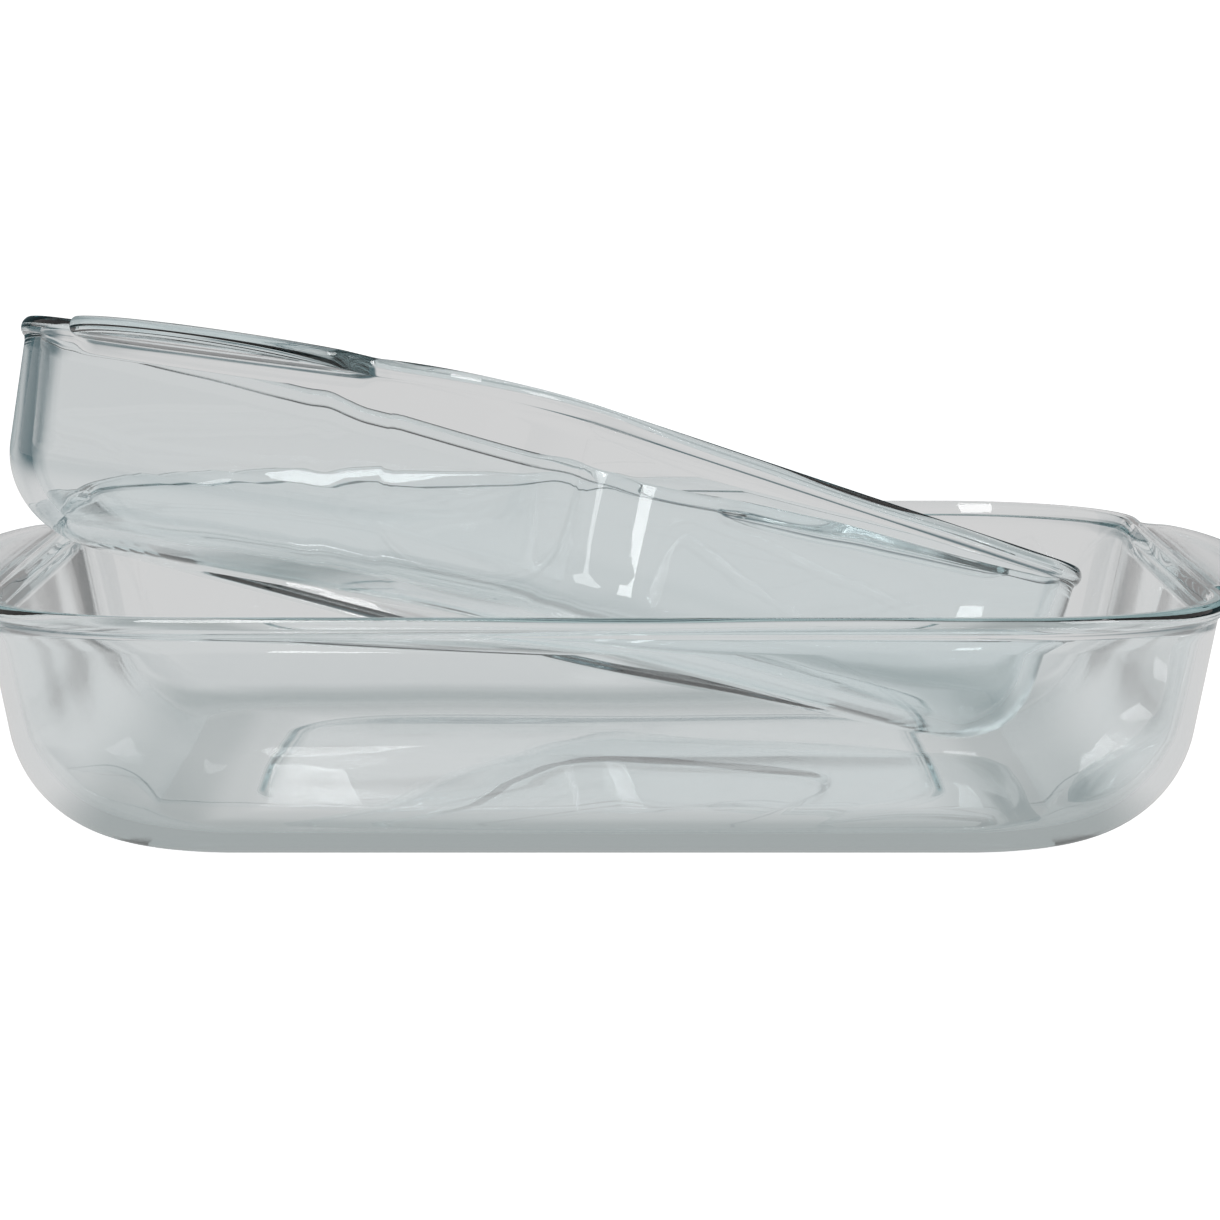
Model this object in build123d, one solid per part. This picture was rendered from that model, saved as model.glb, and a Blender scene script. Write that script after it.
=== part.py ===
"""Pair of pressed-glass oven pans: the small one leans inside the large one.

Origin: middle of the large pan's resting face, on the surface it stands on.
+X: along the large pan, through both handles.  +Y: across it.  +Z: up.
"""
from build123d import *
from math import cos, radians, sin, tan
from typing import NamedTuple
import os

os.makedirs("parts", exist_ok=True)

# ---------------------------------------------------------------- large pan (mm)
large_length = 350.0          # over the rim, handles not counted
large_width = 330.0
large_height = 71.0
large_corner = 61.0           # plan radius of the rim's corners
large_edge = 39.5             # radius between wall and base
large_flare = 10.5            # wall lean from upright, degrees
large_handle_reach = 22.0     # how far a handle stands out past the rim
large_handle_span = 184.0     # handle width where it leaves the rim

# ---------------------------------------------------------------- small pan (mm)
small_length = 292.0
small_width = 220.0
small_height = 61.5
small_corner = 39.0
small_edge = 27.0
small_flare = 4.3
small_handle_reach = 19.0
small_handle_span = 126.0

# ---------------------------------------------------------------- glass, both pans (mm)
wall = 4.5                    # wall thickness
floor = 5.0                   # base thickness
rim_reach = 1.2               # how far the rim bead stands out past the wall
rim_height = 5.0              # depth of the rim bead
rim_round = 1.9               # radius on the outer edges of bead and handles
lip_round = 0.8               # radius on the inner edge of the mouth
corner_loss = 0.7             # plan radius lost per mm that the wall draws in
least_corner = 9.0
handle_root_round = 9.0       # fillet where a handle leaves the rim
arc_steps = 7                 # sections in the round base edge

# ---------------------------------------------------------------- how the small pan leans
lean_turn = 47.9              # about the upright axis, degrees
lean_pitch = 15.7             # its right-hand handle end goes down
lean_roll = 2.7               # its back side goes down
lean_offset = (-24.4, -15.2, 44.1)


class Pan(NamedTuple):
    """Outside sizes of one pan."""

    length: float
    width: float
    height: float
    corner: float
    edge: float
    flare: float
    handle_reach: float
    handle_span: float


def stations(height, edge, flare):
    """(z, draw-in) pairs up a wall that reaches the full plan size at its mouth."""
    lean = radians(flare)
    arc_top = edge * (1 - sin(lean))
    wall_in = (height - arc_top) * tan(lean)
    rows = []
    for step in range(arc_steps + 1):
        angle = radians(90) - (radians(90) - lean) * step / arc_steps
        rows.append((edge * (1 - sin(angle)), wall_in + edge * (cos(lean) - cos(angle))))
    for share in (0.75, 0.5, 0.25, 0.0):
        rows.append((height - share * (height - arc_top), share * wall_in))
    return rows


def corner_radius(corner, draw_in):
    return max(corner - corner_loss * draw_in, least_corner)


def tub(pan, inset, height, edge):
    """Solid tub on z = 0: flared walls, round base edge, mouth this far inside the rim."""
    sections = []
    for z, draw_in in stations(height, edge, pan.flare):
        total = inset + draw_in
        radius = corner_radius(pan.corner - inset, draw_in)
        outline = RectangleRounded(pan.length - 2 * total, pan.width - 2 * total, radius)
        sections.append(Pos(0, 0, z) * outline)
    return loft(sections)


def rim_plan(pan):
    """Rim outline with a handle bowed out of each end as half an ellipse."""
    plan = RectangleRounded(pan.length, pan.width, pan.corner)
    for side in (-1, 1):
        plan += Pos(side * pan.length / 2, 0) * Ellipse(pan.handle_reach, pan.handle_span / 2)
    roots = [v for v in plan.vertices() if abs(abs(v.Y) - pan.handle_span / 2) < 0.01]
    return fillet(roots, handle_root_round)


def rim_bead(pan):
    """Rim bead and handles as one rounded slab, still solid across the mouth."""
    slab = Pos(0, 0, pan.height - rim_height) * extrude(rim_plan(pan), rim_height)
    flats = slab.faces().filter_by(Axis.Z)
    return fillet([edge for face in flats for edge in face.edges()], rim_round)


def make_pan(pan):
    """One pan: body, rim bead and both handles are a single pressing."""
    body = tub(pan, rim_reach, pan.height, pan.edge) + rim_bead(pan)
    hollow = tub(pan, rim_reach + wall, pan.height - floor, pan.edge - wall)
    glass = body - Pos(0, 0, floor) * hollow
    mouth = glass.faces().sort_by(Axis.Z)[-1].inner_wires()[0].edges()
    return fillet(mouth, lip_round)


def lean(pan):
    """Stand the small pan at its lean inside the large one."""
    turned = Rot(0, 0, lean_turn) * Rot(0, lean_pitch, 0) * Rot(lean_roll, 0, 0)
    return Pos(*lean_offset) * turned * pan


def main():
    large = Pan(
        large_length,
        large_width,
        large_height,
        large_corner,
        large_edge,
        large_flare,
        large_handle_reach,
        large_handle_span,
    )
    small = Pan(
        small_length,
        small_width,
        small_height,
        small_corner,
        small_edge,
        small_flare,
        small_handle_reach,
        small_handle_span,
    )
    export_step(make_pan(large), "parts/large_pan.step")
    export_step(lean(make_pan(small)), "parts/small_pan.step")


main()
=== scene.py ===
"""Two clear pressed-glass oven pans of one pattern, the small one leaning inside the large one."""
import math

import bpy
import numpy as np
from mathutils import Euler, Matrix, Vector


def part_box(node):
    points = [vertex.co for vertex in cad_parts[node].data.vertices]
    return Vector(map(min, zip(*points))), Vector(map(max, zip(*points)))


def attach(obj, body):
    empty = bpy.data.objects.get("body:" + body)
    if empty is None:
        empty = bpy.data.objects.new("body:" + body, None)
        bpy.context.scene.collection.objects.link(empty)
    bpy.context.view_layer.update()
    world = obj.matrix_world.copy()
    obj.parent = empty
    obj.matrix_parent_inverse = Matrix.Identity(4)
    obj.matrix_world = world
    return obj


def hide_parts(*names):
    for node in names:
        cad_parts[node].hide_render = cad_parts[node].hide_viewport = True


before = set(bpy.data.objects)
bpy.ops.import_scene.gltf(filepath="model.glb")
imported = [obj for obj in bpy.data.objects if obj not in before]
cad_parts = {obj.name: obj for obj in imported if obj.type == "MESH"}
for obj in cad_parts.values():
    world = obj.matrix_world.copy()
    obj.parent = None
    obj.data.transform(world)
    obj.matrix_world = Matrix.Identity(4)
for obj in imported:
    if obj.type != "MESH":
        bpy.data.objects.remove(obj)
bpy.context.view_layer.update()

MM = 0.001

# ---------------------------------------------------------------- pan sizes, millimetres
LARGE = dict(length=350.0, width=330.0, height=71.0, corner=61.0, edge=39.5, flare=10.5,
             reach=22.0, span=184.0, thin=1.3, thick=0.35, panel=(100.0, 95.0, 32.0, 2.2),
             ridges=((-88, -165, 9, 0.12), (60, -165, 12, 0.1), (30, 165, 12, 0.12)))
SMALL = dict(length=292.0, width=220.0, height=61.5, corner=39.0, edge=27.0, flare=4.3,
             reach=19.0, span=126.0, thin=1.5, thick=1.2, panel=(92.0, 58.0, 18.0, 1.4),
             ridges=((-146, -42, 7, 0.16), (-112, -110, 8, 0.18), (-90, -110, 7, 0.10),
                     (20, -110, 12, 0.1)))
WALL = 4.5
FLOOR = 5.0
RIM_REACH = 1.2          # how far the rim bead stands out past the wall
RIM_HEIGHT = 5.0
LIP = 1.0                # radius on the inner edge of the mouth
HANDLE_LIP = 2.6         # the same beside the handle at the -X end
EDGE_ROUND = 1.0         # radius on the outer edges of the rim bead
HANDLE_EDGE = 2.1        # the same on the handles
HANDLE_POWER = 0.58      # shape of the handle's bow: 0.5 is half an ellipse, more is slimmer
HANDLE_ROOT = 9.0        # over this length a handle fades into the rim
CROWN_SAG = 0.7          # hollow across the top of a handle
ROOT_DROP = 1.3          # how far a handle's underside comes down at the wall
CORNER_LOSS = 0.7        # plan radius lost per millimetre that the wall draws in
LEAST_CORNER = 9.0
PANEL_STEP = 4.0         # width of the step round the sunk base panel
WALL_RIPPLE = 0.10
FLOOR_RIPPLE = 0.12
LEAN = dict(turn=47.9, pitch=15.7, roll=2.7, offset=(-24.4, -15.2, 44.1))

# points round one pan: half a short end, a corner, half a long side
END_POINTS = 60
SIDE_POINTS = 36
CORNER_POINTS = 26

GLASS_TINT = (0.42, 0.80, 0.84, 1.0)
GLASS_DENSITY = 5.0
BOUNCES = 16
BOX_TOLERANCE = 0.006    # metres that a rebuilt pan may differ from its CAD box
BEDDING = 0.00001        # metres that the resting ring beds into the paper, so no air gap is left


def smooth(share):
    """Smooth step from 0 to 1 for a share, or an array of shares, between 0 and 1."""
    return share * share * (3 - 2 * share)


def outline(half_x, half_y, radius):
    """Rounded rectangle, anticlockwise from the middle of the +X end: (points, outward normals)."""
    radius = min(radius, half_x - 1, half_y - 1)
    flat_x = half_x - radius
    flat_y = half_y - radius
    quarter = []
    for t in np.arange(END_POINTS) / END_POINTS:
        quarter.append((half_x, flat_y * t, 1.0, 0.0))
    for t in np.arange(CORNER_POINTS) / CORNER_POINTS:
        angle = t * math.pi / 2
        quarter.append((flat_x + radius * math.cos(angle), flat_y + radius * math.sin(angle),
                        math.cos(angle), math.sin(angle)))
    for t in np.arange(SIDE_POINTS + 1) / SIDE_POINTS:
        quarter.append((flat_x * (1 - t), half_y, 0.0, 1.0))
    q1 = np.array(quarter)
    q2 = q1[-2::-1] * [-1, 1, -1, 1]
    q3 = q1[1:] * [-1, -1, -1, -1]
    q4 = q1[-2:0:-1] * [1, -1, 1, -1]
    ring = np.concatenate([q1, q2, q3, q4])
    return ring[:, :2], ring[:, 2:]


def draw_in(z, height, edge, flare):
    """How far a wall has drawn in at z from its full size at the mouth."""
    lean = math.radians(flare)
    arc_top = edge * (1 - math.sin(lean))
    wall_in = (height - arc_top) * math.tan(lean)
    if z >= arc_top:
        return (height - z) * math.tan(lean)
    angle = math.asin(max(-1.0, min(1.0, 1 - z / edge)))
    return wall_in + edge * (math.cos(lean) - math.cos(angle))


def wall_levels(height, edge, flare, top, arc_count, wall_count):
    """Heights from the base up to top, close together on the round edge."""
    lean = math.radians(flare)
    arc_top = edge * (1 - math.sin(lean))
    levels = []
    for k in range(arc_count):
        angle = math.pi / 2 - (math.pi / 2 - lean) * k / arc_count
        levels.append(edge * (1 - math.sin(angle)))
    for k in range(wall_count + 1):
        levels.append(arc_top + (top - arc_top) * k / wall_count)
    return levels


def handle_push(points, pan):
    """How far the handle carries each point of the rim outline out along X."""
    half = pan["span"] / 2
    y = np.abs(points[:, 1])
    on_end = np.abs(points[:, 0]) > pan["length"] / 2 - pan["corner"] * 0.5
    share = np.clip(1 - (y / half) ** 2, 0, 1)
    push = pan["reach"] * share ** HANDLE_POWER
    fade = smooth(np.clip((half - y) / HANDLE_ROOT, 0, 1))
    return np.where(on_end, push * fade, 0.0)


def handle_share(pan):
    """Share of the handle's full reach at each point round the pan, and the same at the -X end only."""
    rim, _ = outline(pan["length"] / 2, pan["width"] / 2, pan["corner"])
    both = handle_push(rim, pan) / pan["reach"]
    return both, np.where(rim[:, 0] < 0, both, 0.0)


def ripple(points, z, pan, amount):
    """Slow uneven thickness of pressed glass, in millimetres."""
    x = points[:, 0] / pan["length"]
    y = points[:, 1] / pan["width"]
    wave = np.sin(9.1 * x + 4.3 * y + 0.021 * z) + 0.7 * np.sin(17.0 * y - 6.2 * x + 1.9)
    wave += 0.5 * np.sin(23.0 * x + 0.05 * z + 0.6) + 0.45 * np.sin(31.0 * y + 8.0 * x)
    return amount * wave


def ridges(pan, z):
    """Upright flow ridges where the glass met in the mould, strongest half way up the wall."""
    rim, _ = outline(pan["length"] / 2, pan["width"] / 2, pan["corner"])
    total = np.zeros(len(rim))
    fade = math.sin(math.pi * min(1.0, max(0.0, z / pan["height"]))) ** 0.7
    for x, y, width, height in pan["ridges"]:
        away = np.hypot(rim[:, 0] - x, rim[:, 1] - y)
        total += height * np.exp(-(away / width) ** 2)
    return total * fade


def ring_at(pan, inset, z, amount=0.0, push=0.0):
    """One ring of the pan: the rim outline drawn in by inset, with the handle pushed out by push.

    The inset and z may be one number or an array with a value for each point.
    """
    if np.ndim(inset):
        low, high = inset.min(), inset.max()
        near = ring_at(pan, low, z, amount, push)
        far = ring_at(pan, high, z, amount, push)
        share = (inset - low) / max(high - low, 0.001)
        return near + (far - near) * share[:, None]
    radius = max(pan["corner"] - CORNER_LOSS * inset, LEAST_CORNER)
    points, normals = outline(pan["length"] / 2 - inset, pan["width"] / 2 - inset, radius)
    if push:
        rim_points, _ = outline(pan["length"] / 2, pan["width"] / 2, pan["corner"])
        reach = handle_push(rim_points, pan)
        points = points + np.stack([np.sign(rim_points[:, 0]) * reach * push, np.zeros(len(reach))], 1)
    if amount:
        uneven = ripple(points, z, pan, amount) - ridges(pan, z)
        points = points + normals * uneven[:, None]
    return np.column_stack([points, np.broadcast_to(z, len(points))])


def disc_rings(ring, z_at, amount, pan):
    """Rings from the middle of a flat floor or base out to the given ring, the ring left out."""
    rings = []
    for share in (0.03, 0.18, 0.34, 0.5, 0.64, 0.76, 0.86, 0.93, 0.97):
        points = ring[:, :2] * share
        heights = z_at + ripple(points, 0, pan, amount) * min(1.0, 3 * (1 - share))
        rings.append(np.column_stack([points, heights]))
    return rings


def draught(pan, share):
    """Extra wall thickness at this share of the height: thin at the mouth, thick at the base edge."""
    rise = smooth(min(1.0, share / 0.5))
    return rise * (pan["thick"] - (pan["thick"] + pan["thin"]) * share)


def lip_ring(pan, inner, radius, angle):
    """Ring of a round lip of this radius: angle 0 is on the wall and a right angle on the crown."""
    inset = inner - radius * (1 - math.cos(angle))
    return ring_at(pan, inset, pan["height"] - radius * (1 - math.sin(angle)))


def rim_rings(pan):
    """Round lip, flat top, outer edge and underside of the rim bead and the handles."""
    height = pan["height"]
    inner = RIM_REACH + WALL - pan["thin"]
    rings = []
    bow, left_bow = handle_share(pan)
    lip_steps = 7
    for k in range(1, lip_steps + 1):
        angle = math.pi / 2 * k / lip_steps
        plain = lip_ring(pan, inner, LIP, angle)
        soft = lip_ring(pan, inner, HANDLE_LIP, angle)
        rings.append(plain + (soft - plain) * left_bow[:, None])
    crown = inner - LIP
    edge_round = EDGE_ROUND + (HANDLE_EDGE - EDGE_ROUND) * bow
    for share in (0.2, 0.4, 0.6, 0.8, 1.0):
        inset = crown + (edge_round - crown) * share
        ring = ring_at(pan, inset, height, push=share)
        ring[:, 2] -= CROWN_SAG * math.sin(math.pi * share) * bow
        rings.append(ring)
    edge_steps = 12
    depth = RIM_HEIGHT - 2 * edge_round
    for k in range(1, edge_steps + 1):
        angle = math.pi * k / edge_steps
        z = height - edge_round * (1 - math.cos(angle)) - depth * (k / edge_steps)
        rings.append(ring_at(pan, edge_round * (1 - math.sin(angle)), z, push=1.0))
    under = RIM_REACH + draw_in(height - RIM_HEIGHT, height, pan["edge"], pan["flare"])
    for share in (0.75, 0.5, 0.28, 0.12):
        drop = ROOT_DROP * (1 - share) ** 3
        inset = under + (edge_round - under) * share
        rings.append(ring_at(pan, inset, height - RIM_HEIGHT - drop, push=share))
    return rings


def pan_rings(pan):
    """Every ring of one pan, from the middle of its floor over the rim to the middle of its base."""
    inner_height = pan["height"] - FLOOR
    inner_edge = pan["edge"] - WALL
    _, left_bow = handle_share(pan)
    inner = []
    for z in wall_levels(inner_height, inner_edge, pan["flare"], inner_height - LIP, 18, 9):
        share = z / inner_height
        inset = RIM_REACH + WALL + draw_in(z, inner_height, inner_edge, pan["flare"])
        ring = ring_at(pan, inset + draught(pan, share), z + FLOOR, amount=WALL_RIPPLE)
        ring[:, 2] -= (HANDLE_LIP - LIP) * left_bow * share ** 4
        inner.append(ring)
    rings = disc_rings(inner[0], FLOOR, FLOOR_RIPPLE, pan) + inner + rim_rings(pan)
    outer = []
    for z in wall_levels(pan["height"], pan["edge"], pan["flare"], pan["height"] - RIM_HEIGHT - 1.6, 22, 9):
        inset = RIM_REACH + draw_in(z, pan["height"], pan["edge"], pan["flare"])
        outer.append(ring_at(pan, inset, z))
    rings += outer[::-1] + base_rings(pan, outer[0])
    return rings


def base_rings(pan, edge):
    """Flat resting ring, the rounded step up to the sunk base panel, and the panel."""
    half_x, half_y, radius, depth = pan["panel"]
    panel, _ = outline(half_x, half_y, radius)
    rings = []
    for share in (0.3, 0.6, 0.85):
        points = edge[:, :2] + (panel - edge[:, :2]) * share
        rings.append(np.column_stack([points, np.zeros(len(points))]))
    for k in range(9):
        inset = PANEL_STEP * k / 8
        rise = depth * (1 - math.cos(math.pi * k / 8)) / 2
        points, _ = outline(half_x - inset, half_y - inset, radius - inset / 2)
        rings.append(np.column_stack([points, np.full(len(points), rise)]))
    return rings + disc_rings(rings[-1], depth, 0.0, pan)[::-1]


def build_pan(name, pan, matrix):
    """Closed mesh of one pan, turned and placed by matrix."""
    rings = pan_rings(pan)
    count = len(rings[0])
    verts = np.concatenate(rings) * MM
    faces = []
    for row in range(len(rings) - 1):
        for k in range(count):
            nxt = (k + 1) % count
            a, b = row * count + k, row * count + nxt
            faces.append((a, b, b + count, a + count))
    middle_top = len(verts)
    top = verts[:count].mean(axis=0)
    bottom = verts[-count:].mean(axis=0)
    last = (len(rings) - 1) * count
    verts = np.vstack([verts, top, bottom])
    for k in range(count):
        nxt = (k + 1) % count
        faces.append((middle_top, nxt, k))
        faces.append((middle_top + 1, last + k, last + nxt))
    mesh = bpy.data.meshes.new(name)
    mesh.from_pydata([tuple(v) for v in verts], [], faces)
    mesh.flip_normals()
    mesh.transform(matrix)
    mesh.shade_smooth()
    mesh.validate()
    mesh.update()
    piece = bpy.data.objects.new(name, mesh)
    bpy.context.scene.collection.objects.link(piece)
    return piece


def glass(name):
    """Clear pressed glass: faint orange peel, and a blue-green body colour that deepens along the glass."""
    material = bpy.data.materials.new(name)
    material.use_nodes = True
    tree = material.node_tree
    tree.nodes.clear()
    out = tree.nodes.new("ShaderNodeOutputMaterial")
    shader = tree.nodes.new("ShaderNodeBsdfPrincipled")
    shader.inputs["Base Color"].default_value = (0.97, 0.995, 1.0, 1.0)
    shader.inputs["Roughness"].default_value = 0.0
    shader.inputs["IOR"].default_value = 1.5
    shader.inputs["Transmission Weight"].default_value = 1.0
    coords = tree.nodes.new("ShaderNodeTexCoord")
    slow = tree.nodes.new("ShaderNodeTexNoise")
    slow.inputs["Scale"].default_value = 14.0
    slow.inputs["Detail"].default_value = 1.0
    bump = tree.nodes.new("ShaderNodeBump")
    bump.inputs["Strength"].default_value = 0.35
    bump.inputs["Distance"].default_value = 0.0006
    tree.links.new(coords.outputs["Object"], slow.inputs["Vector"])
    tree.links.new(slow.outputs["Fac"], bump.inputs["Height"])
    tree.links.new(bump.outputs["Normal"], shader.inputs["Normal"])
    body = tree.nodes.new("ShaderNodeVolumeAbsorption")
    body.inputs["Color"].default_value = GLASS_TINT
    body.inputs["Density"].default_value = GLASS_DENSITY
    tree.links.new(shader.outputs["BSDF"], out.inputs["Surface"])
    tree.links.new(body.outputs["Volume"], out.inputs["Volume"])
    return material


def lean_matrix():
    """Place of the small pan in the row frame."""
    turn = Matrix.Rotation(math.radians(LEAN["turn"]), 4, "Z")
    pitch = Matrix.Rotation(math.radians(LEAN["pitch"]), 4, "Y")
    roll = Matrix.Rotation(math.radians(LEAN["roll"]), 4, "X")
    return Matrix.Translation(Vector(LEAN["offset"]) * MM) @ turn @ pitch @ roll


def check_against_frame(piece, node):
    """Stop if a rebuilt pan has drifted from the CAD node that it stands for."""
    corners = np.array([v.co for v in piece.data.vertices])
    low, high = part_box(node)
    gap = max(np.abs(corners.min(0) - np.array(low)).max(), np.abs(corners.max(0) - np.array(high)).max())
    print(node, "differs from its CAD box by", round(gap * 1000, 2), "mm")
    if gap > BOX_TOLERANCE:
        raise RuntimeError(node + " is not where the frame has it")


def math_node(tree, operation, first, second=None):
    """Math node whose inputs are sockets or plain numbers; returns its output."""
    node = tree.nodes.new("ShaderNodeMath")
    node.operation = operation
    for socket, value in zip(node.inputs, (first, second)):
        if isinstance(value, (int, float)):
            socket.default_value = value
        elif value is not None:
            tree.links.new(value, socket)
    return node.outputs[0]


def ramp_node(tree, factor, stops):
    """Smooth ramp through (position, red, green, blue) stops; returns its colour."""
    ramp = tree.nodes.new("ShaderNodeValToRGB")
    ramp.color_ramp.interpolation = "EASE"
    elements = ramp.color_ramp.elements
    while len(elements) < len(stops):
        elements.new(0.5)
    for element, (position, *colour) in zip(elements, stops):
        element.position = position
        element.color = (*colour, 1.0)
    tree.links.new(factor, ramp.inputs["Fac"])
    return ramp.outputs["Color"]


def studio_light(tree):
    """Painted light on the sweep, seen only through the glass: grey, painted dark teal towards both sides,
    and a painted contact shadow round the large pan's base edge.
    """
    place = tree.nodes.new("ShaderNodeTexCoord")
    split = tree.nodes.new("ShaderNodeSeparateXYZ")
    tree.links.new(place.outputs["Object"], split.inputs[0])
    across = math_node(tree, "ABSOLUTE", split.outputs["X"])
    along = math_node(tree, "ABSOLUTE", split.outputs["Y"])
    # Painted shade: the light seen through the glass falls to dark teal towards both sides, by distance
    # across.
    sides = ramp_node(tree, across, ((0.34, 0.665, 0.648, 0.646), (0.80, 0.08, 0.13, 0.145)))
    # Painted contact shadow: the light seen through the glass is dimmed in a ring round the large pan's
    # base edge.
    edge = math_node(tree, "MAXIMUM", math_node(tree, "MULTIPLY", across, 1 / 0.25),
                     math_node(tree, "MULTIPLY", along, 1 / 0.24))
    lit = (1.0, 1.0, 1.0)
    painted_shadow_grey = (0.57, 0.61, 0.61)
    painted_contact_shadow = ramp_node(tree, edge, ((0.36, *lit), (0.42, 0.80, 0.82, 0.82), (0.47, *painted_shadow_grey), (0.56, *painted_shadow_grey),
                                   (0.70, *lit)))
    both = tree.nodes.new("ShaderNodeVectorMath")
    both.operation = "MULTIPLY"
    tree.links.new(sides, both.inputs[0])
    tree.links.new(painted_contact_shadow, both.inputs[1])
    return both.outputs[0]


def stage_material():
    """White sweep. What is seen through the glass is painted light: the sweep glows grey there, painted
    darker towards both sides, with a painted contact shadow round the large pan's base edge.
    """
    material = bpy.data.materials.new("white_sweep_painted_light")
    material.use_nodes = True
    tree = material.node_tree
    tree.nodes.clear()
    out = tree.nodes.new("ShaderNodeOutputMaterial")
    path = tree.nodes.new("ShaderNodeLightPath")
    white = tree.nodes.new("ShaderNodeEmission")
    white.inputs["Color"].default_value = (1.0, 1.0, 1.0, 1.0)
    white.inputs["Strength"].default_value = 0.96
    paper = tree.nodes.new("ShaderNodeBsdfDiffuse")
    paper.inputs["Color"].default_value = (0.5, 0.5, 0.5, 1.0)
    seen = tree.nodes.new("ShaderNodeAddShader")
    # Painted light: rays through the glass see this glow, with painted shade to the sides and a painted
    # contact shadow.
    through = tree.nodes.new("ShaderNodeEmission")
    light = studio_light(tree)
    tree.links.new(light, through.inputs["Color"])
    mix = tree.nodes.new("ShaderNodeMixShader")
    tree.links.new(white.outputs["Emission"], seen.inputs[0])
    tree.links.new(paper.outputs["BSDF"], seen.inputs[1])
    tree.links.new(path.outputs["Is Camera Ray"], mix.inputs["Fac"])
    tree.links.new(through.outputs["Emission"], mix.inputs[1])
    tree.links.new(seen.outputs["Shader"], mix.inputs[2])
    tree.links.new(mix.outputs["Shader"], out.inputs["Surface"])
    return material


def add_sweep():
    """Plain floor that curves up into a backdrop behind the object."""
    rows = [(-2.2, 0.0), (1.6, 0.0)]
    for k in range(1, 13):
        angle = math.pi / 2 * k / 12
        rows.append((1.6 + 0.8 * math.sin(angle), 0.8 * (1 - math.cos(angle))))
    rows.append((2.4, 2.6))
    verts = []
    faces = []
    for y, z in rows:
        verts += [(-3.0, y, z), (3.0, y, z)]
    for k in range(len(rows) - 1):
        faces.append((2 * k, 2 * k + 1, 2 * k + 3, 2 * k + 2))
    mesh = bpy.data.meshes.new("sweep")
    mesh.from_pydata(verts, [], faces)
    mesh.shade_smooth()
    mesh.materials.append(stage_material())
    sweep = bpy.data.objects.new("sweep", mesh)
    sweep.location.z = BEDDING
    bpy.context.scene.collection.objects.link(sweep)


def add_world():
    """Studio round the object: white to the eye, dark teal overhead, light near the horizon."""
    world = bpy.data.worlds.new("studio")
    bpy.context.scene.world = world
    world.use_nodes = True
    tree = world.node_tree
    tree.nodes.clear()
    out = tree.nodes.new("ShaderNodeOutputWorld")
    coords = tree.nodes.new("ShaderNodeTexCoord")
    split = tree.nodes.new("ShaderNodeSeparateXYZ")
    ramp = tree.nodes.new("ShaderNodeValToRGB")
    ramp.color_ramp.elements[0].position = 0.55
    ramp.color_ramp.elements[0].color = (0.54, 0.525, 0.522, 1.0)
    ramp.color_ramp.elements[1].position = 0.9
    ramp.color_ramp.elements[1].color = (0.03, 0.08, 0.10, 1.0)
    room = tree.nodes.new("ShaderNodeBackground")
    white = tree.nodes.new("ShaderNodeBackground")
    white.inputs["Color"].default_value = (1.0, 1.0, 1.0, 1.0)
    path = tree.nodes.new("ShaderNodeLightPath")
    mix = tree.nodes.new("ShaderNodeMixShader")
    tree.links.new(coords.outputs["Generated"], split.inputs["Vector"])
    tree.links.new(split.outputs["Z"], ramp.inputs["Fac"])
    tree.links.new(ramp.outputs["Color"], room.inputs["Color"])
    tree.links.new(path.outputs["Is Camera Ray"], mix.inputs["Fac"])
    tree.links.new(room.outputs["Background"], mix.inputs[1])
    tree.links.new(white.outputs["Background"], mix.inputs[2])
    tree.links.new(mix.outputs["Shader"], out.inputs["Surface"])


def add_softbox(name, azimuth, elevation, distance, width, height, power):
    """Area light that faces the object; azimuth is measured from straight in front, + to the right.

    It shows in reflections, and not through the glass.
    """
    turn = math.radians(azimuth)
    lift = math.radians(elevation)
    place = Vector((math.sin(turn) * math.cos(lift), -math.cos(turn) * math.cos(lift), math.sin(lift)))
    light = bpy.data.lights.new(name, "AREA")
    light.shape = "RECTANGLE"
    light.size = width
    light.size_y = height
    light.energy = power
    lamp = bpy.data.objects.new(name, light)
    lamp.location = place * distance + Vector((0.0, 0.0, 0.06))
    lamp.rotation_euler = (-place).to_track_quat("-Z", "Y").to_euler()
    lamp.visible_transmission = False
    bpy.context.scene.collection.objects.link(lamp)


def add_camera():
    """Long lens, a little above the rim."""
    data = bpy.data.cameras.new("camera")
    data.sensor_width = 36.0
    data.lens = 132.8
    camera = bpy.data.objects.new("camera", data)
    camera.location = (0.0023, -1.358, 0.218)
    camera.rotation_euler = Euler((math.radians(90 - 6.91), 0.0, 0.0))
    bpy.context.scene.collection.objects.link(camera)
    bpy.context.scene.camera = camera


large = build_pan("large_pan_glass", LARGE, Matrix.Identity(4))
large.data.materials.append(glass("clear_glass_large"))
small = build_pan("small_pan_glass", SMALL, lean_matrix())
small.data.materials.append(glass("clear_glass_small"))
check_against_frame(large, "large_pan")
check_against_frame(small, "small_pan")

for piece, node, slot in (
    (large, "large_pan", "clear_glass_large"),
    (small, "small_pan", "clear_glass_small"),
):
    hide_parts(node)
    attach(piece, node)

add_sweep()
add_world()
add_softbox("softbox_left", -22, 46, 1.4, 0.5, 0.6, 8)
add_softbox("softbox_right", 43, 31, 1.4, 0.6, 0.5, 4.5)
add_camera()
scene = bpy.context.scene
scene.view_settings.view_transform = "Standard"
scene.cycles.max_bounces = BOUNCES
scene.cycles.transmission_bounces = BOUNCES
scene.cycles.glossy_bounces = BOUNCES
